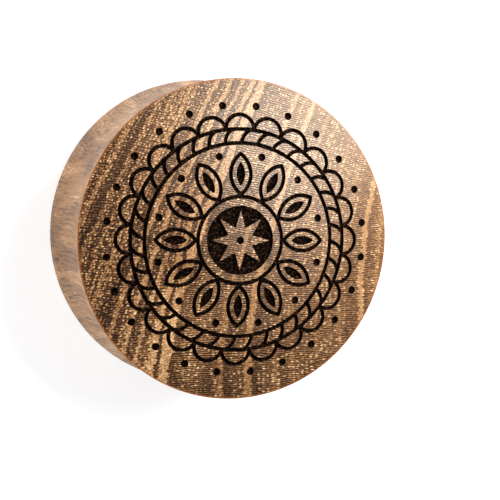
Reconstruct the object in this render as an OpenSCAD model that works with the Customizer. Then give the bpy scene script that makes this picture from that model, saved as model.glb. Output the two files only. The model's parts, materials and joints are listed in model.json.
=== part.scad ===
// Double flared ear plug turned from one piece of hardwood, with a design burnt into its domed face.
// The plug lies on its flat back: the origin is the centre of the back, and +Z runs along the axis,
// out of the domed face. All sizes are in millimetres.

/* [Plug] */
// Diameter of the waist, which is the size of the ear lobe hole that it fits
gauge_d = 32; // [26:1:44]
// How far each flare stands out beyond the waist
flare = 0.75; // [0.5:0.05:1.2]
// Length between the rims of the two flares
wear_length = 14.5; // [11:0.5:18]
// Rise of the domed face above its rim
dome_rise = 2; // [1.2:0.1:3]
// Radius of the crisp edge round the domed face
face_edge_r = 0.15; // [0.1:0.05:0.3]
// Radius of the soft edge round the flat back
back_edge_r = 0.5; // [0.3:0.1:1]

/* [Engraving] */
// Plain border between the rim and the design
border_w = 2.4; // [1.6:0.1:4]
// Depth of the burnt lines and grounds under the dome
engraving_depth = 0.4; // [0.2:0.05:0.8]
// Width of a burnt line
line_w = 0.42; // [0.3:0.02:0.5]
// Width of the bare wood between a leaf's outline and its dark middle
land_w = 0.4; // [0.3:0.02:0.5]
// Diameter of a burnt dot
dot_d = 0.8; // [0.6:0.05:1]
// Number of points of the raised star
star_count = 8; // [6:1:10]
// Number of pointed leaves round the star
leaf_count = 12; // [10:1:13]
// Number of curved strokes in the rope border
rope_count = 36; // [30:1:40]
// Number of arches round the rope border
arch_count = 24; // [20:1:26]

/* [Hidden] */
$fn = 96;

// The body
waist_r = gauge_d / 2;
rim_r = waist_r + flare;
half_length = wear_length / 2;
// Arc of the waist, through both rims and the waist
waist_arc_r = (half_length * half_length + flare * flare) / (2 * flare);
waist_centre = [waist_r + waist_arc_r, half_length];
// Sphere of the domed face, through its rim and its crown
dome_r = (rim_r * rim_r + dome_rise * dome_rise) / (2 * dome_rise);
crown_z = wear_length + dome_rise;
dome_centre = [0, crown_z - dome_r];
// How far a cutting shape reaches past what it cuts
overlap = 1;
// Angle of the seam of the round faces: it runs between a leaf and a dot, clear of both
seam_angle = 0.8 * 180 / leaf_count;
// Facets of the large arcs and spheres
fine = 360;

// The design: its radii are shares of its outer radius
design_r = rim_r - border_w;
star_notch_r = 0.095 * design_r;
star_tip_r = 0.215 * design_r;
ground_r = 0.25 * design_r;
leaf_start_r = 0.315 * design_r;
leaf_end_r = 0.64 * design_r;
leaf_half_w = 0.09 * design_r;
between_leaves_r = 0.62 * design_r;
rope_in_r = 0.7 * design_r;
rope_out_r = 0.8 * design_r;
// Radius of a rope stroke, as a share of the width of the rope
rope_sweep = 1.12;
arch_r = rope_out_r * sin(180 / arch_count);
outer_dots_r = design_r - dot_d / 2;

// The two arcs of a leaf, through its points and its widest places
leaf_half_length = (leaf_end_r - leaf_start_r) / 2;
leaf_arc_r = (pow(leaf_half_length, 2) + pow(leaf_half_w, 2)) / (2 * leaf_half_w);
leaf_arc_offset = leaf_arc_r - leaf_half_w;

// Direction from one point to another
function direction(from, to) = (to - from) / norm(to - from);

// The point, left of the line from a to b, that lies a_r from a and b_r from b
function meet(a, a_r, b, b_r) =
    let (
        d = norm(b - a),
        along = (d * d + a_r * a_r - b_r * b_r) / (2 * d),
        across = sqrt(a_r * a_r - along * along),
        u = direction(a, b)
    )
    a + along * u + across * [-u[1], u[0]];

// What a corner loses to its rounding: the corner lies out from the centre, between two normals
module corner_waste(centre, r, normal_a, normal_b) {
    reach = 2 * r;
    translate(centre) difference() {
        polygon([[0, 0], reach * normal_a, reach * (normal_a + normal_b), reach * normal_b]);
        circle(r);
    }
}

module back_edge_waste() {
    drop = half_length - back_edge_r;
    out = waist_centre[0] - sqrt(pow(waist_arc_r + back_edge_r, 2) - drop * drop);
    centre = [out, back_edge_r];
    corner_waste(centre, back_edge_r, [0, -1], direction(centre, waist_centre));
}

module face_edge_waste() {
    centre = meet(waist_centre, waist_arc_r + face_edge_r, dome_centre, dome_r - face_edge_r);
    corner_waste(centre, face_edge_r, direction(dome_centre, centre), direction(centre, waist_centre));
}

// Half of the turned shape, right of the axis
module profile() {
    difference() {
        intersection() {
            square([rim_r + overlap, crown_z + overlap]);
            translate(dome_centre) circle(dome_r, $fn = fine);
        }
        translate(waist_centre) circle(waist_arc_r, $fn = fine);
        back_edge_waste();
        face_edge_waste();
    }
}

// Copies round the middle, each moved out to a radius; turn is the angle of the first one
module around(count, r, turn = 0) {
    for (i = [0 : count - 1])
        rotate(turn + i * 360 / count) translate([r, 0]) children();
}

// A line along a circle
module ring_line(r) {
    difference() {
        circle(r + line_w / 2);
        circle(r - line_w / 2);
    }
}

module dot() {
    circle(dot_d / 2);
}

module star() {
    step = 180 / star_count;
    polygon([
        for (i = [0 : 2 * star_count - 1])
            let (r = i % 2 == 0 ? star_tip_r : star_notch_r)
            r * [cos(i * step), sin(i * step)]
    ]);
}

// A dark ground round a star that stays raised, with a dot in the middle of the star
module medallion() {
    difference() {
        circle(ground_r);
        star();
    }
    dot();
}

// A pointed shape along X, between two arcs
module lens(arc_r) {
    intersection() {
        translate([0, leaf_arc_offset]) circle(arc_r);
        translate([0, -leaf_arc_offset]) circle(arc_r);
    }
}

// An outline with a dark middle
module leaf() {
    difference() {
        lens(leaf_arc_r);
        lens(leaf_arc_r - line_w);
    }
    lens(leaf_arc_r - line_w - land_w);
}

// A quarter of a circle from the inner line of the rope to its outer line
module rope_stroke() {
    r = rope_sweep * (rope_out_r - rope_in_r);
    intersection() {
        translate([-line_w / 2, 0]) square(2 * r);
        ring_line(r);
    }
}

module rope() {
    ring_line(rope_in_r);
    ring_line(rope_out_r);
    intersection() {
        circle(rope_out_r);
        around(rope_count, rope_in_r) rope_stroke();
    }
}

module arches() {
    difference() {
        around(arch_count, rope_out_r) ring_line(arch_r);
        circle(rope_out_r);
    }
}

module design() {
    medallion();
    ring_line(leaf_start_r);
    around(leaf_count, leaf_start_r + leaf_half_length) leaf();
    around(leaf_count, between_leaves_r, 180 / leaf_count) dot();
    rope();
    arches();
    around(arch_count, outer_dots_r, 180 / arch_count) dot();
}

// The burnt grooves, whose floor follows the dome
module engraving() {
    difference() {
        translate([0, 0, wear_length - overlap])
            linear_extrude(dome_rise + 2 * overlap) design();
        translate([0, 0, dome_centre[1]])
            rotate([0, 0, seam_angle]) sphere(dome_r - engraving_depth, $fn = fine);
    }
}

module plug() {
    color([0.63, 0.48, 0.37]) difference() {
        rotate([0, 0, seam_angle]) rotate_extrude() profile();
        engraving();
    }
}

plug();
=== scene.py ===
"""Looks of a double flared wooden ear plug with a burnt ornament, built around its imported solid.

The script is laid out as an add-on. Run as a script, it registers its classes, makes the plug and the
stage, and leaves the scene ready to render. Lengths are in metres, except where a name or a comment
says millimetres.
"""
import json
import bmesh
import bpy
from bpy.props import FloatProperty, FloatVectorProperty, PointerProperty
from mathutils import Matrix, Vector, noise


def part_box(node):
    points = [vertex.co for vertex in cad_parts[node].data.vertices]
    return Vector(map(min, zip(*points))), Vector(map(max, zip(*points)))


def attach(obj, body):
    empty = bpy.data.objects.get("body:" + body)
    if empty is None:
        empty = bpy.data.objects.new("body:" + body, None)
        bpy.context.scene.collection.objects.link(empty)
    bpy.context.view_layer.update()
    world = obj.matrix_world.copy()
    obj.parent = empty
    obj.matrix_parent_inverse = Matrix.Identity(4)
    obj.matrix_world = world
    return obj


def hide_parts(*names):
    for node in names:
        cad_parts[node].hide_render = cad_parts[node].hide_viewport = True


bl_info = {
    "name": "Wooden Ear Plug",
    "version": (1, 0, 0),
    "blender": (4, 5, 0),
    "location": "3D View > Sidebar > Ear Plug",
    "description": "Makes an oiled hardwood ear plug with a charred ornament, and a pale stage for it",
    "category": "Object",
}

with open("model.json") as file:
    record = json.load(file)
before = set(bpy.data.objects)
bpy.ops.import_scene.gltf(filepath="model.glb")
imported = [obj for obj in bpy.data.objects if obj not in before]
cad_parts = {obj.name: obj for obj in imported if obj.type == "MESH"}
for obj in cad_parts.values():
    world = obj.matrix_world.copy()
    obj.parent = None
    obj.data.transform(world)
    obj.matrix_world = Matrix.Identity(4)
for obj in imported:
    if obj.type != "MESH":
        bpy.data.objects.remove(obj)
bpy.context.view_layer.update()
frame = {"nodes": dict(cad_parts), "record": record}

MM = 0.001
NODE = "plug"
PLUG = "turned_plug"

# Sizes of the turned shape, from the frame. The box is measured on facets, so it is rounded to 0.01 mm.
LOW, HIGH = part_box(NODE)
SEAT = next(mount for mount in frame["record"]["mounts"] if mount["name"] == "lobe_seat")
RIM_R = round((HIGH[0] - LOW[0]) / 2, 5)
CROWN_Z = round(HIGH[2], 5)
RIM_Z = SEAT["dims"]["length_mm"] * MM
DOME_RISE = CROWN_Z - RIM_Z
DOME_R = (RIM_R**2 + DOME_RISE**2) / (2 * DOME_RISE)
DOME_CENTRE = Vector((0, 0, CROWN_Z - DOME_R))

# Every groove of the ornament lies inside this radius and above this height
ORNAMENT_R = RIM_R - MM
ORNAMENT_Z = RIM_Z - MM * 0.3

# How the copy of the solid is meshed: how far apart points are welded, how short an edge is dissolved,
# how near a point counts as on a groove's floor, how long an edge may be there, how often long edges are
# split at most, and from what angle in radians an edge shows as a crease
WELD = 0.001 * MM
SLIVER = 0.002 * MM
ON_FLOOR = 0.02 * MM
FLOOR_EDGE = 0.16 * MM
MOST_SPLITS = 8
CREASE = 0.6


def linear(hex_code):
    """Turns an sRGB hex colour into linear RGBA."""
    parts = [int(hex_code[i : i + 2], 16) / 255 for i in (1, 3, 5)]
    curve = [c / 12.92 if c <= 0.04045 else ((c + 0.055) / 1.055) ** 2.4 for c in parts]
    return (*curve, 1.0)


class PlugSettings(bpy.types.PropertyGroup):
    """Sizes and colours of the plug."""

    groove_depth: FloatProperty(
        name="Groove Depth",
        description="Depth of the grooves in the solid",
        default=0.4 * MM,
        min=0.1 * MM,
        soft_max=MM,
        unit="LENGTH",
    )
    char_lump: FloatProperty(
        name="Char Lump",
        description="Height of the lumps on the charred floors",
        default=0.09 * MM,
        min=0.0,
        soft_max=0.2 * MM,
        unit="LENGTH",
    )
    char_lump_size: FloatProperty(
        name="Char Lump Size",
        description="Width of the lumps on the charred floors",
        default=0.3 * MM,
        min=0.1 * MM,
        soft_max=MM,
        unit="LENGTH",
    )
    face_colour: FloatVectorProperty(
        name="Face Colour",
        description="Middle tone of the wood where it is cut across its fibres",
        default=linear("#7e5839")[:3],
        min=0.0,
        max=1.0,
        subtype="COLOR",
        size=3,
    )
    side_colour: FloatVectorProperty(
        name="Side Colour",
        description="Middle tone of the wood where it is cut along its fibres",
        default=linear("#a67748")[:3],
        min=0.0,
        max=1.0,
        subtype="COLOR",
        size=3,
    )
    # Painted light: the thin warm line along the face's edge, as if light came through the cut fibre ends
    edge_light_colour: FloatVectorProperty(
        name="Edge Colour",
        description="Colour of the thin line along the edge of the face",
        default=linear("#8f5225")[:3],
        min=0.0,
        max=1.0,
        subtype="COLOR",
        size=3,
    )


class StageSettings(bpy.types.PropertyGroup):
    """Camera, lights, room and floor."""

    lens: FloatProperty(
        name="Lens",
        description="Focal length of the camera",
        default=144,
        min=1.0,
        subtype="DISTANCE_CAMERA",
    )
    key_power: FloatProperty(
        name="Key Power", description="Power of the key softbox", default=0.345, min=0.0, unit="POWER"
    )
    fill_power: FloatProperty(
        name="Fill Power", description="Power of the fill softbox", default=0.09, min=0.0, unit="POWER"
    )
    horizon: FloatProperty(
        name="Horizon", description="Brightness of the white room at eye level", default=0.92, min=0.0
    )
    zenith: FloatProperty(
        name="Zenith", description="Brightness of the room overhead", default=0.16, min=0.0
    )
    floor_glow: FloatProperty(
        name="Floor Glow", description="Light that comes up through the floor", default=0.68, min=0.0
    )
    floor_colour: FloatVectorProperty(
        name="Floor Colour",
        description="Colour of the floor",
        default=linear("#c4c6cc")[:3],
        min=0.0,
        max=1.0,
        subtype="COLOR",
        size=3,
    )


def add_node(tree, kind, inputs=None, **settings):
    """Adds a shader node. Settings are its properties, and inputs holds a value or a link for a socket."""
    node = tree.nodes.new("ShaderNode" + kind)
    for name, value in settings.items():
        setattr(node, name, value)
    for socket, value in (inputs or {}).items():
        if isinstance(value, bpy.types.Node):
            value = value.outputs[0]
        if isinstance(value, bpy.types.NodeSocket):
            tree.links.new(value, node.inputs[socket])
        else:
            node.inputs[socket].default_value = value
    return node


def set_ramp(ramp, stops):
    """Gives a colour ramp its stops, each a position and a linear colour."""
    while len(ramp.elements) > 1:
        ramp.elements.remove(ramp.elements[-1])
    for i, (position, colour) in enumerate(stops):
        element = ramp.elements[0] if i == 0 else ramp.elements.new(position)
        element.position = position
        element.color = colour


def new_material(name):
    """An empty material and its tree, ready for nodes."""
    material = bpy.data.materials.new(name)
    material.use_nodes = True
    material.node_tree.nodes.clear()
    return material, material.node_tree


# The wood's patterns are in millimetres, and run across the rings, along them and up the trunk.
# How far cells stray sideways as they go up, and how many times a millimetre that changes
WANDER = (0.7, 0.7, 0.0)
WANDER_SCALE = (0.35, 0.35, 0.08)
# Direction across the rings in the middle of the face, and how each of its parts changes with the place
LEAN = (0.96, -0.28)
LEAN_X_CHANGE = (-0.0066, 0.0134, 0)
LEAN_Y_CHANGE = (0, -0.0117, 0)
# The pith that the rays start from, far off to the right
PITH = (100.0, -11.0, 0.0)
# Distance from one ray to the next. Each ray line is one full turn, in radians, of a wave.
RAY_PITCH = 0.22
FULL_TURN = 6.283
# Size of the places that hold one vessel each, on the cut ends and up the trunk
VESSEL_PITCH = (0.4, 0.36)
VESSEL_LENGTH = 8
# How far a band's edge strays from its line
BAND_RAGGED = 0.8
# Across the rings, the places between which the crowded vessels give way to sparse ones
THINNING = {"From Min": -5.0, "From Max": -2.5}
# Middle of a pale patch low on the left of the face
PALE_PATCH = (-5.0, 1.0, RIM_Z / MM)
# The tone that stays as it is where the contrast changes
MIDDLE_TONE = 0.52
# Width of a pit in the char
CHAR_PIT = 0.26

# Growth bands across the end grain: place from the middle in millimetres, half width in millimetres, and
# tone. A tone above 0 is a pale band of soft tissue, and below 0 a dark band of dense fibre.
BANDS = (
    (-20.0, 0.15, 0.6),
    (-19.3, 0.22, -0.4),
    (-18.5, 0.25, 0.6),
    (-17.9, 0.12, -0.5),
    (-17.2, 0.38, -0.7),
    (-16.4, 0.20, 0.5),
    (-15.6, 0.20, -0.4),
    (-15.0, 0.15, 0.4),
    (-14.0, 0.20, 0.4),
    (-13.2, 0.22, 0.7),
    (-12.6, 0.12, 0.5),
    (-11.4, 0.45, -0.4),
    (-10.4, 0.22, 0.8),
    (-9.9, 0.20, -0.7),
    (-8.7, 0.25, 0.9),
    (-8.2, 0.15, -0.9),
    (-7.7, 0.20, -0.6),
    (-7.25, 0.16, 0.7),
    (-6.8, 0.25, -0.4),
    (-5.85, 0.28, 0.9),
    (-5.35, 0.17, -1.0),
    (-4.6, 0.50, 1.0),
    (-3.85, 0.20, -0.8),
    (-3.3, 0.35, -0.4),
    (-0.6, 0.35, -0.4),
    (0.4, 0.28, 0.6),
    (1.0, 0.30, -0.5),
    (2.8, 0.28, 1.0),
    (3.35, 0.25, -0.6),
    (5.1, 0.20, 0.4),
    (5.5, 0.15, -0.5),
    (6.4, 0.20, 0.3),
    (8.5, 0.15, 0.3),
    (9.8, 0.20, -0.3),
    (10.4, 0.15, 0.3),
    (11.4, 0.40, -0.5),
    (12.3, 0.20, 0.9),
    (12.75, 0.20, -0.6),
    (13.6, 0.20, 0.5),
)
# Tone of the wood between the bands
PLAIN_TONE = -0.02


def grain_coordinates(tree, place):
    """Turns a place into its place in the wood: across the rings, along the rings, and up the trunk."""
    # The trunk isn't straight: cells wander as they go up
    wander = add_node(tree, "VectorMath", {0: place, 1: WANDER_SCALE}, operation="MULTIPLY")
    wander = add_node(tree, "TexNoise", {"Vector": wander, "Scale": 1.0, "Detail": 2.0}).outputs["Color"]
    wander = add_node(tree, "VectorMath", {0: wander, 1: (0.5, 0.5, 0.5)}, operation="SUBTRACT")
    place = add_node(tree, "VectorMath", {0: wander, 1: WANDER, 2: place}, operation="MULTIPLY_ADD")
    # The rings lean and bend: their direction changes evenly over the face
    lean_x = add_node(tree, "VectorMath", {0: place, 1: LEAN_X_CHANGE}, operation="DOT_PRODUCT")
    lean_x = add_node(tree, "Math", {0: lean_x.outputs["Value"], 1: LEAN[0]}, operation="ADD")
    lean_y = add_node(tree, "VectorMath", {0: place, 1: LEAN_Y_CHANGE}, operation="DOT_PRODUCT")
    lean_y = add_node(tree, "Math", {0: lean_y.outputs["Value"], 1: LEAN[1]}, operation="ADD")
    lean = add_node(tree, "CombineXYZ", {0: lean_x, 1: lean_y})
    across = add_node(tree, "VectorMath", {0: place, 1: lean}, operation="DOT_PRODUCT").outputs["Value"]
    # The rays fan out from the pith
    from_pith = add_node(tree, "VectorMath", {0: PITH, 1: place}, operation="SUBTRACT")
    from_pith = add_node(tree, "SeparateXYZ", {0: from_pith})
    towards = {0: from_pith.outputs[1], 1: from_pith.outputs[0]}
    angle = add_node(tree, "Math", towards, operation="ARCTAN2")
    along = add_node(tree, "Math", {0: angle, 1: -PITH[0]}, operation="MULTIPLY")
    up = add_node(tree, "SeparateXYZ", {0: place}).outputs[2]
    return add_node(tree, "CombineXYZ", {0: across, 1: along, 2: up})


def stretched_noise(tree, grain, size, detail=2.0, roughness=0.5):
    """Noise whose cells have the given size across the rings, along them and up the trunk."""
    per_mm = [1 / length for length in size]
    scaled = add_node(tree, "VectorMath", {0: grain, 1: per_mm}, operation="MULTIPLY")
    sockets = {"Vector": scaled, "Scale": 1.0, "Detail": detail, "Roughness": roughness}
    return add_node(tree, "TexNoise", sockets).outputs["Fac"]


def growth_bands(tree, grain):
    """Tone of the growth bands, -1 in dense fibre to 1 in soft tissue. Their edges follow the cells."""
    ragged = stretched_noise(tree, grain, (0.45, 0.3, 2.0), detail=2.0, roughness=0.6)
    across = add_node(tree, "SeparateXYZ", {0: grain}).outputs[0]
    across = add_node(tree, "Math", {0: ragged, 1: BAND_RAGGED, 2: across}, operation="MULTIPLY_ADD")
    # The noise lies round 0.5, so it moves every band by half of its reach
    shift = BAND_RAGGED / 2
    tone = PLAIN_TONE
    for place, half_width, strength in BANDS:
        inside = add_node(tree, "Math", {0: across, 1: place + shift, 2: half_width}, operation="COMPARE")
        tone = add_node(tree, "Math", {0: inside, 1: strength, 2: tone}, operation="MULTIPLY_ADD")
    return tone


def rays(tree, grain):
    """Dark ray lines, 1 on a line and 0 between them."""
    axes = add_node(tree, "SeparateXYZ", {0: grain})
    slip = stretched_noise(tree, grain, (3.5, 1.2, 1.5), detail=1.0)
    turn = add_node(tree, "Math", {0: axes.outputs[1], 1: FULL_TURN / RAY_PITCH}, operation="MULTIPLY")
    turn = add_node(tree, "Math", {0: slip, 1: 8.0, 2: turn}, operation="MULTIPLY_ADD")
    wave = add_node(tree, "Math", {0: turn}, operation="SINE")
    # A ray is a row of cells, so the line swells and thins along its way
    cells = stretched_noise(tree, grain, (0.6, 0.09, 0.5), detail=1.0)
    wave = add_node(tree, "Math", {0: cells, 1: 2.2, 2: wave}, operation="MULTIPLY_ADD")
    return add_node(
        tree, "MapRange", {0: wave, "From Min": 0.7, "From Max": 1.8}, interpolation_type="SMOOTHSTEP"
    )


def vessels(tree, grain, share):
    """Pale vessels in the end grain, 1 inside one. The share says how many of the places hold one."""
    per_mm = (1 / VESSEL_PITCH[0], 1 / VESSEL_PITCH[1], 0)
    scaled = add_node(tree, "VectorMath", {0: grain, 1: per_mm}, operation="MULTIPLY")
    sockets = {"Vector": scaled, "Scale": 1.0, "Randomness": 0.8}
    cells = add_node(tree, "TexVoronoi", sockets, voronoi_dimensions="2D")
    chance = add_node(tree, "SeparateXYZ", {0: cells.outputs["Color"]})
    kept = add_node(tree, "Math", {0: chance.outputs[0], 1: share}, operation="LESS_THAN")
    sockets = {0: cells.outputs["Distance"], "From Min": 0.4, "From Max": 0.2}
    dots = add_node(tree, "MapRange", sockets, interpolation_type="SMOOTHSTEP")
    glow = add_node(tree, "MapRange", {0: chance.outputs[1], "To Min": 0.45, "To Max": 1.0})
    dots = add_node(tree, "Math", {0: dots, 1: glow}, operation="MULTIPLY")
    return add_node(tree, "Math", {0: dots, 1: kept}, operation="MULTIPLY")


def end_grain(tree, grain, bands):
    """Tone of the wood cut across its fibres, 0 dark to 1 pale."""
    axes = add_node(tree, "SeparateXYZ", {0: grain})
    across = axes.outputs[0]
    along = axes.outputs[1]
    # Vessels crowd on the side of the wide pale band. On the other they are sparse, and the rays show.
    crowd = add_node(tree, "MapRange", {0: across, **THINNING, "To Min": 0.95, "To Max": 0.48})
    # Dense fibre has few vessels
    open_share = add_node(tree, "MapRange", {0: bands, "From Min": -0.6, "From Max": -0.2, "To Min": 0.4})
    dots = vessels(tree, grain, crowd)
    dots = add_node(tree, "Math", {0: dots, 1: open_share}, operation="MULTIPLY")
    ground = add_node(tree, "MapRange", {0: across, **THINNING, "To Min": 0.43, "To Max": 0.53})
    ray_depth = add_node(tree, "MapRange", {0: across, **THINNING, "To Min": -0.22, "To Max": -0.46})
    ray = rays(tree, grain)
    ground = add_node(tree, "Math", {0: ray, 1: ray_depth, 2: ground}, operation="MULTIPLY_ADD")
    ground = add_node(tree, "Math", {0: bands, 1: 0.12, 2: ground}, operation="MULTIPLY_ADD")
    ground = add_node(tree, "Math", {0: dots, 1: 0.52, 2: ground}, operation="MULTIPLY_ADD")
    # Soft tissue is plain and pale
    plain = add_node(tree, "Math", {0: dots, 1: 0.16, 2: 0.62}, operation="MULTIPLY_ADD")
    soft = add_node(tree, "MapRange", {0: bands, "From Min": 0.1, "From Max": 0.9})
    tone = add_node(tree, "Mix", {0: soft, 2: ground, 3: plain}, data_type="FLOAT")
    # The tone varies slowly at random and is paler in a patch low on the left. On top of that lies painted
    # light: the face is paler towards the top and the right, where the key falls, and darker towards the
    # bottom
    slow = stretched_noise(tree, grain, (3.0, 6.0, 8.0), detail=1.0)
    slow = add_node(tree, "MapRange", {0: slow, "To Min": -0.19, "To Max": 0.03})
    # Painted light: these two terms brighten the face towards the top and the right, and darken it towards
    # the bottom
    slow = add_node(tree, "Math", {0: along, 1: 0.006, 2: slow}, operation="MULTIPLY_ADD")
    slow = add_node(tree, "Math", {0: across, 1: 0.0055, 2: slow}, operation="MULTIPLY_ADD")
    patch = add_node(tree, "VectorMath", {0: grain, 1: PALE_PATCH}, operation="DISTANCE")
    sockets = {0: patch.outputs["Value"], "From Min": 8.0, "From Max": 2.0, "To Max": 0.14}
    patch = add_node(tree, "MapRange", sockets, interpolation_type="SMOOTHSTEP")
    slow = add_node(tree, "Math", {0: patch, 1: slow}, operation="ADD")
    tone = add_node(tree, "Math", {0: tone, 1: slow}, operation="ADD")
    fine = stretched_noise(tree, grain, (0.17, 0.12, 0.5), detail=1.0, roughness=0.7)
    sockets = {0: fine, "From Min": 0.3, "From Max": 0.7, "To Min": -0.22, "To Max": 0.22}
    fine = add_node(tree, "MapRange", sockets)
    tone = add_node(tree, "Math", {0: tone, 1: fine}, operation="ADD")
    # Its pattern is crisp at the lower left, and softer at the upper right: painted sheen, which washes
    # out the dark cells there as the key's haze would
    corner = add_node(tree, "Math", {0: across, 1: along}, operation="ADD")
    sockets = {0: corner, "From Min": -5.0, "From Max": 32.0, "To Min": 1.2, "To Max": 0.8}
    contrast_under_painted_sheen = add_node(tree, "MapRange", sockets)
    tone = add_node(tree, "Math", {0: tone, 1: MIDDLE_TONE}, operation="SUBTRACT")
    return add_node(tree, "Math", {0: tone, 1: contrast_under_painted_sheen, 2: MIDDLE_TONE}, operation="MULTIPLY_ADD")


def long_grain(tree, grain, bands):
    """Tone of the wood cut along its fibres, 0 dark to 1 pale."""
    # Fine pale lines, gathered in some zones and missing from others, as the growth rings run out
    clouds = stretched_noise(tree, grain, (1.5, 1.5, 18.0), detail=2.0)
    sockets = {0: clouds, "From Min": 0.42, "From Max": 0.6, "To Min": 0.06, "To Max": 0.4}
    zone = add_node(tree, "MapRange", sockets)
    at_ring = add_node(tree, "MapRange", {0: bands, "To Max": 0.15})
    zone = add_node(tree, "Math", {0: zone, 1: at_ring}, operation="ADD")
    lines = stretched_noise(tree, grain, (0.12, 0.12, 16.0), detail=1.0, roughness=0.6)
    lines = add_node(tree, "MapRange", {0: lines, "From Min": 0.5, "From Max": 0.6})
    # Specks break the lines up
    specks = stretched_noise(tree, grain, (0.11, 0.11, 0.5), detail=1.0)
    breaks = add_node(tree, "MapRange", {0: specks, "From Min": 0.42, "From Max": 0.58, "To Min": 0.1})
    lines = add_node(tree, "Math", {0: lines, 1: breaks}, operation="MULTIPLY")
    tone = add_node(tree, "Math", {0: lines, 1: zone, 2: 0.23}, operation="MULTIPLY_ADD")
    tone = add_node(tree, "Math", {0: specks, 1: 0.2, 2: tone}, operation="MULTIPLY_ADD")
    # Dark seams between the pale lines
    seams = stretched_noise(tree, grain, (0.22, 0.22, 16.0), detail=2.0, roughness=0.6)
    sockets = {0: seams, "From Min": 0.34, "From Max": 0.5, "To Min": -0.3, "To Max": 0.0}
    seams = add_node(tree, "MapRange", sockets)
    tone = add_node(tree, "Math", {0: seams, 1: tone}, operation="ADD")
    tone = add_node(tree, "Math", {0: bands, 1: 0.06, 2: tone}, operation="MULTIPLY_ADD")
    tone = add_node(tree, "Math", {0: clouds, 1: 0.4, 2: tone}, operation="MULTIPLY_ADD")
    # Dull patches, where the fibres run into the surface and drink the oil
    patches = stretched_noise(tree, grain, (3.2, 3.2, 14.0), detail=2.0)
    sockets = {0: patches, "From Min": 0.44, "From Max": 0.53, "To Min": -0.1, "To Max": 0.08}
    patches = add_node(tree, "MapRange", sockets, interpolation_type="SMOOTHSTEP")
    tone = add_node(tree, "Math", {0: patches, 1: tone}, operation="ADD")
    # Vessels that the cut opened lengthwise are short dark dashes
    per_mm = (1 / VESSEL_PITCH[0], 1 / VESSEL_PITCH[0], 1 / VESSEL_LENGTH)
    scaled = add_node(tree, "VectorMath", {0: grain, 1: per_mm}, operation="MULTIPLY")
    cells = add_node(tree, "TexVoronoi", {"Vector": scaled, "Scale": 1.0})
    chance = add_node(tree, "SeparateXYZ", {0: cells.outputs["Color"]})
    kept = add_node(tree, "Math", {0: chance.outputs[0], 1: 0.3}, operation="LESS_THAN")
    sockets = {0: cells.outputs["Distance"], "From Min": 0.2, "From Max": 0.08}
    dashes = add_node(tree, "MapRange", sockets)
    dashes = add_node(tree, "Math", {0: dashes, 1: kept}, operation="MULTIPLY")
    return add_node(tree, "Math", {0: dashes, 1: -0.4, 2: tone}, operation="MULTIPLY_ADD")


def char_colour(tree, place, crumbs):
    """Colour of the char: black in its pits, and dark brown on its ridges. Part of the tone follows the
    floor's own rise: painted light on the high lumps and painted shade in the low pits.
    """
    sockets = {"Vector": place, "Scale": 1 / CHAR_PIT}
    pits = add_node(tree, "TexVoronoi", sockets, voronoi_dimensions="2D").outputs["Distance"]
    pits = add_node(tree, "MapRange", {0: pits, "From Min": 0.2, "From Max": 0.6})
    # Painted light and shade: the colour gets paler where the floor rises and darker where it sinks
    relief = add_node(tree, "Attribute", attribute_name="char").outputs["Fac"]
    ridges = add_node(tree, "Math", {0: pits, 1: 0.55, 2: -0.12}, operation="MULTIPLY_ADD")
    ridges = add_node(tree, "Math", {0: relief, 1: 0.4, 2: ridges}, operation="MULTIPLY_ADD")
    ridges = add_node(tree, "Math", {0: crumbs, 1: ridges}, operation="MULTIPLY")
    char = add_node(tree, "ValToRGB", {0: ridges})
    stops = ((0.1, linear("#010000")), (0.28, linear("#130b07")), (0.55, linear("#432b1e")))
    set_ramp(char.color_ramp, stops)
    return char


def scorch(tree, place, radius, height, crumbs):
    """Share of char, 1 in a groove and 0 on bare wood. Its ragged edge lies right under the face."""
    reach = add_node(tree, "VectorMath", {0: place, 1: DOME_CENTRE / MM}, operation="DISTANCE")
    depth = add_node(tree, "Math", {0: DOME_R / MM, 1: reach.outputs["Value"]}, operation="SUBTRACT")
    depth = add_node(tree, "Math", {0: crumbs, 1: 0.1, 2: depth}, operation="MULTIPLY_ADD")
    burnt = add_node(tree, "MapRange", {0: depth, "From Min": 0.065, "From Max": 0.13})
    high = add_node(tree, "Math", {0: height, 1: ORNAMENT_Z / MM}, operation="GREATER_THAN")
    inner = add_node(tree, "Math", {0: radius, 1: ORNAMENT_R / MM}, operation="LESS_THAN")
    in_groove = add_node(tree, "Math", {0: high, 1: inner}, operation="MULTIPLY")
    return add_node(tree, "Math", {0: burnt, 1: in_groove}, operation="MULTIPLY")


def painted_edge_light(tree, radius, height, crumbs):
    """Share of the thin line along the edge of the face: painted light, standing in for light that comes
    through the cut fibre ends.
    """
    here = add_node(tree, "CombineXYZ", {0: radius, 1: height})
    rim = (RIM_R / MM, RIM_Z / MM, 0)
    from_rim = add_node(tree, "VectorMath", {0: here, 1: rim}, operation="DISTANCE").outputs["Value"]
    line = add_node(tree, "MapRange", {0: from_rim, "From Min": 0.24, "From Max": 0.08, "To Max": 1.4})
    return add_node(tree, "Math", {0: line, 1: crumbs}, operation="MULTIPLY")


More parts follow.
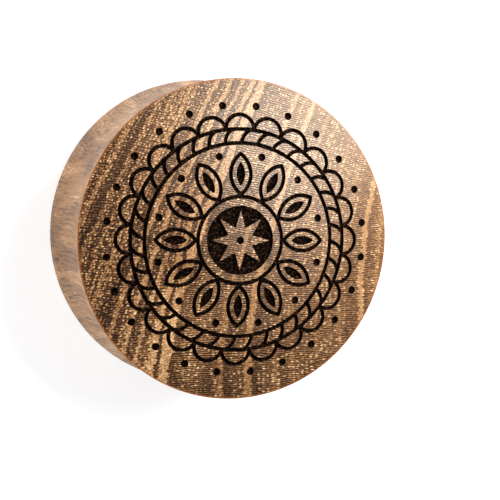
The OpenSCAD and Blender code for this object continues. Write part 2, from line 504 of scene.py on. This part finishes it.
def teak_material(face_colour, side_colour, edge_light_colour):
    """Oiled teak, turned and buffed, with lines burnt by a laser.

    Across the fibres it shows pale vessels and dark rays between pale growth bands. Along them it shows
    bundles of fine broken lines, dark seams and dull patches. The oil leaves a satin sheen, and the burnt
    grooves are matt, near black, with a brown scorch where they begin."""
    material, tree = new_material("oiled_teak_laser_burnt")
    # The piece's own coordinates, in millimetres
    place = add_node(tree, "TexCoord").outputs["Object"]
    place = add_node(tree, "VectorMath", {0: place, 1: (1000, 1000, 1000)}, operation="MULTIPLY")
    flat = add_node(tree, "VectorMath", {0: place, 1: (1, 1, 0)}, operation="MULTIPLY")
    radius = add_node(tree, "VectorMath", {0: flat}, operation="LENGTH").outputs["Value"]
    height = add_node(tree, "SeparateXYZ", {0: place}).outputs[2]

    grain = grain_coordinates(tree, place)
    bands = growth_bands(tree, grain)
    across = end_grain(tree, grain, bands)
    along = long_grain(tree, grain, bands)
    # The face and the back show the fibre ends, and the wall shows the fibres' length
    normal = add_node(tree, "NewGeometry").outputs["True Normal"]
    normal = add_node(tree, "SeparateXYZ", {0: normal}).outputs[2]
    facing = add_node(tree, "Math", {0: normal}, operation="ABSOLUTE")
    is_end = add_node(tree, "MapRange", {0: facing, "From Min": 0.55, "From Max": 0.8})
    tone = add_node(tree, "Mix", {0: is_end, 2: along, 3: across}, data_type="FLOAT")
    side = add_node(tree, "ValToRGB", {0: along})
    stops = (
        (0.0, linear("#382518")),
        (0.3, linear("#755131")),
        (0.6, (*side_colour, 1)),
        (1.0, linear("#dab287")),
    )
    set_ramp(side.color_ramp, stops)
    face = add_node(tree, "ValToRGB", {0: across})
    stops = (
        (0.0, linear("#1b0f08")),
        (0.25, linear("#422b1c")),
        (0.5, (*face_colour, 1)),
        (0.75, linear("#b3885c")),
        (1.0, linear("#e5c39b")),
    )
    set_ramp(face.color_ramp, stops)
    wood = add_node(tree, "Mix", {0: is_end, 6: side, 7: face}, data_type="RGBA").outputs[2]

    crumbs = add_node(tree, "TexNoise", {"Vector": place, "Scale": 4.0, "Detail": 3.0}).outputs["Fac"]
    char = char_colour(tree, place, crumbs)
    burnt = scorch(tree, place, radius, height, crumbs)
    colour = add_node(tree, "Mix", {0: burnt, 6: wood, 7: char}, data_type="RGBA").outputs[2]
    # Painted light along the face's edge, as if light came through the cut fibre ends
    edge = painted_edge_light(tree, radius, height, crumbs)
    sockets = {0: edge, 6: colour, 7: (*edge_light_colour, 1)}
    colour = add_node(tree, "Mix", sockets, data_type="RGBA").outputs[2]

    # The face is buffed smoother than the wall, and char is matt
    rough = add_node(tree, "Mix", {0: is_end, 2: 0.5, 3: 0.3}, data_type="FLOAT")
    rough = add_node(tree, "Mix", {0: burnt, 2: rough, 3: 0.95}, data_type="FLOAT")
    # Pale tissue shines more than dark fibre, the wall holds more oil than the face, and char holds none
    gloss = add_node(tree, "MapRange", {0: tone, "From Max": 0.7, "To Min": 0.27, "To Max": 0.4})
    oil = add_node(tree, "MapRange", {0: is_end, "To Min": 1.25, "To Max": 1.0})
    gloss = add_node(tree, "Math", {0: gloss, 1: oil}, operation="MULTIPLY")
    gloss = add_node(tree, "Mix", {0: burnt, 2: gloss, 3: 0.04}, data_type="FLOAT")
    # Pale tissue stands a hair proud of dark fibre
    bump = add_node(tree, "Bump", {"Height": tone, "Distance": 0.02 * MM, "Strength": 0.6})
    sockets = {
        "Base Color": colour,
        "Roughness": rough,
        "IOR": 1.5,
        "Specular IOR Level": gloss,
        "Normal": bump,
    }
    shader = add_node(tree, "BsdfPrincipled", sockets)
    add_node(tree, "OutputMaterial", {"Surface": shader})
    return material


def floor_material(colour, glow):
    """Sanded opal acrylic over a light table: matt white, lit from below, so that shadows stay pale."""
    material, tree = new_material("opal_acrylic_sanded")
    sockets = {
        "Base Color": (*colour, 1),
        "Roughness": 0.6,
        "Emission Color": (1, 1, 1, 1),
        "Emission Strength": glow,
    }
    shader = add_node(tree, "BsdfPrincipled", sockets)
    add_node(tree, "OutputMaterial", {"Surface": shader})
    return material


def under_dome(point):
    """Depth of a point under the domed face."""
    return DOME_R - (point - DOME_CENTRE).length


def in_ornament(point, depth):
    """Whether a point lies in a groove, below the domed face."""
    return 0.1 * depth < under_dome(point) < 1.5 * depth and point.xy.length < ORNAMENT_R


def weld_and_refine(bm, depth):
    """Welds the solid's loose triangles, and splits the grooves' long edges so they can carry relief."""
    bmesh.ops.remove_doubles(bm, verts=bm.verts, dist=WELD)
    bmesh.ops.dissolve_degenerate(bm, edges=bm.edges, dist=SLIVER)
    for _ in range(MOST_SPLITS):
        long_edges = []
        for edge in bm.edges:
            down = [in_ornament(vert.co, depth) for vert in edge.verts]
            # An edge that climbs a groove's wall may be longer than one on its floor
            longest = FLOOR_EDGE if all(down) else 3 * FLOOR_EDGE
            if any(down) and edge.calc_length() > longest:
                long_edges.append(edge)
        if not long_edges:
            break
        bmesh.ops.subdivide_edges(bm, edges=long_edges, cuts=1)
        cut_faces = [face for face in bm.faces if len(face.verts) > 3]
        bmesh.ops.triangulate(bm, faces=cut_faces, quad_method="SHORT_EDGE")
        floor = [
            edge
            for edge in bm.edges
            if all(abs(under_dome(vert.co) - depth) < ON_FLOOR for vert in edge.verts)
        ]
        floor_faces = list({face for edge in floor for face in edge.link_faces})
        bmesh.ops.beautify_fill(bm, faces=floor_faces, edges=floor)
        bmesh.ops.dissolve_degenerate(bm, edges=bm.edges, dist=SLIVER)


def burn(bm, depth, lump, size):
    """Turns the smooth groove floors into char, pits between low ridges, and keeps each point's rise."""
    char = bm.verts.layers.float.new("char")
    for vert in bm.verts:
        if not in_ornament(vert.co, depth):
            continue
        share = min(under_dome(vert.co) / depth, 1)
        # The distance to the nearest cell's middle makes ridges between pits, and slow noise varies them
        pit_distance = noise.voronoi(vert.co / size)[0][0]
        rise = 2.2 * pit_distance - 0.9 + 0.4 * noise.noise(vert.co / (2.5 * size))
        vert[char] = max(min(0.5 + 0.5 * rise, 1), 0)
        vert.co += (vert.co - DOME_CENTRE).normalized() * rise * lump * share


class EARPLUG_OT_plug(bpy.types.Operator):
    """Make the turned plug from the frame's solid"""

    bl_idname = "ear_plug.plug"
    bl_label = "Turned Plug"

    def execute(self, context):
        """Copies the solid as one welded skin and gives it its finish."""
        settings = context.scene.ear_plug
        depth = settings.groove_depth
        bm = bmesh.new()
        bm.from_mesh(frame["nodes"][NODE].data)
        weld_and_refine(bm, depth)
        # The grooves' top edges stay crisp, and everything below them is soft, as char is
        for edge in bm.edges:
            burnt = any(in_ornament(vert.co, depth) for vert in edge.verts)
            edge.smooth = burnt or edge.calc_face_angle(0) < CREASE
        burn(bm, depth, settings.char_lump, settings.char_lump_size)
        mesh = bpy.data.meshes.new(PLUG)
        bm.to_mesh(mesh)
        bm.free()
        # The copy brings the solid's own normals, which no longer fit the refined faces
        mesh.attributes.remove(mesh.attributes["custom_normal"])
        mesh.shade_smooth()
        plug = bpy.data.objects.new(PLUG, mesh)
        context.scene.collection.objects.link(plug)
        teak = teak_material(settings.face_colour, settings.side_colour, settings.edge_light_colour)
        mesh.materials.append(teak)
        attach(plug, "root")
        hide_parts(NODE)
        return {"FINISHED"}


# Where the camera stands and the lights hang, in rim radii from the middle of the face's rim
CAMERA_PLACE = Vector((-3.65, 0.788, 11.866))
KEY_PLACE = Vector((3.82, 2.78, 6.45))
FILL_PLACE = Vector((-7.4, 0.6, 4))
# The direction that the camera looks in
CAMERA_FORWARD = Vector((0.3007, -0.0686, -0.9513))
# The side of a softbox, and how far the floor reaches, in rim radii
SOFTBOX_SIZE = 4.8
FLOOR_REACH = 60
# Cloth that is a touch warm, and a room that is a touch cool
SOFTBOX_COLOUR = linear("#fffdf3")[:3]
ROOM_COLOUR = linear("#f6f8ff")


class EARPLUG_OT_stage(bpy.types.Operator):
    """Make the floor, the lights and the camera"""

    bl_idname = "ear_plug.stage"
    bl_label = "Stage"

    def execute(self, context):
        """Lays a pale floor, hangs two softboxes, paints the room and sets up the camera."""
        scene = context.scene
        settings = scene.ear_plug_stage
        rim_centre = Vector((0, 0, RIM_Z))

        bm = bmesh.new()
        bmesh.ops.create_grid(bm, x_segments=1, y_segments=1, size=FLOOR_REACH * RIM_R)
        mesh = bpy.data.meshes.new("floor")
        bm.to_mesh(mesh)
        bm.free()
        floor = bpy.data.objects.new("floor", mesh)
        scene.collection.objects.link(floor)
        mesh.materials.append(floor_material(settings.floor_colour, settings.floor_glow))

        softboxes = (
            ("key", KEY_PLACE, settings.key_power),
            ("fill", FILL_PLACE, settings.fill_power),
        )
        for name, place, power in softboxes:
            data = bpy.data.lights.new(name, "AREA")
            data.shape = "SQUARE"
            data.size = SOFTBOX_SIZE * RIM_R
            data.energy = power
            data.color = SOFTBOX_COLOUR
            softbox = bpy.data.objects.new(name, data)
            softbox.location = rim_centre + place * RIM_R
            softbox.rotation_euler = (-place).to_track_quat("-Z", "Y").to_euler()
            scene.collection.objects.link(softbox)

        world = bpy.data.worlds.new("studio")
        world.use_nodes = True
        tree = world.node_tree
        tree.nodes.clear()
        # A white room with a dim ceiling: walls of the plug see more light than its face
        direction = add_node(tree, "TexCoord").outputs["Generated"]
        height = add_node(tree, "SeparateXYZ", {0: direction}).outputs[2]
        sockets = {
            0: height,
            "From Min": 0.05,
            "From Max": 0.6,
            "To Min": settings.horizon,
            "To Max": settings.zenith,
        }
        strength = add_node(tree, "MapRange", sockets, interpolation_type="SMOOTHSTEP")
        room = add_node(tree, "Background", {"Color": ROOM_COLOUR, "Strength": strength})
        add_node(tree, "OutputWorld", {"Surface": room})
        scene.world = world

        forward = CAMERA_FORWARD.normalized()
        up = Vector((1, 0, 0)).cross(forward).normalized()
        right = forward.cross(up)
        data = bpy.data.cameras.new("camera")
        data.lens = settings.lens
        data.clip_start = RIM_R / 10
        camera = bpy.data.objects.new("camera", data)
        turn = Matrix((right, up, -forward)).transposed()
        camera.matrix_world = Matrix.Translation(rim_centre + CAMERA_PLACE * RIM_R) @ turn.to_4x4()
        scene.collection.objects.link(camera)
        scene.camera = camera

        scene.view_settings.view_transform = "Standard"
        return {"FINISHED"}


class EARPLUG_PT_panel(bpy.types.Panel):
    """Sidebar panel with the plug, the stage and their settings"""

    bl_label = "Ear Plug"
    bl_space_type = "VIEW_3D"
    bl_region_type = "UI"
    bl_category = "Ear Plug"

    def draw(self, context):
        """Lists the settings and the operators."""
        for settings, operator in (
            (context.scene.ear_plug, EARPLUG_OT_plug),
            (context.scene.ear_plug_stage, EARPLUG_OT_stage),
        ):
            box = self.layout.box()
            for name in settings.__annotations__:
                box.prop(settings, name)
            box.operator(operator.bl_idname)


CLASSES = (PlugSettings, StageSettings, EARPLUG_OT_plug, EARPLUG_OT_stage, EARPLUG_PT_panel)


def register():
    """Registers the classes and their settings."""
    for cls in CLASSES:
        bpy.utils.register_class(cls)
    bpy.types.Scene.ear_plug = PointerProperty(type=PlugSettings)
    bpy.types.Scene.ear_plug_stage = PointerProperty(type=StageSettings)


def unregister():
    """Takes the classes and their settings away."""
    del bpy.types.Scene.ear_plug_stage
    del bpy.types.Scene.ear_plug
    for cls in reversed(CLASSES):
        bpy.utils.unregister_class(cls)


def main():
    """Makes everything."""
    register()
    bpy.ops.ear_plug.plug()
    bpy.ops.ear_plug.stage()


if __name__ == "__main__":
    main()
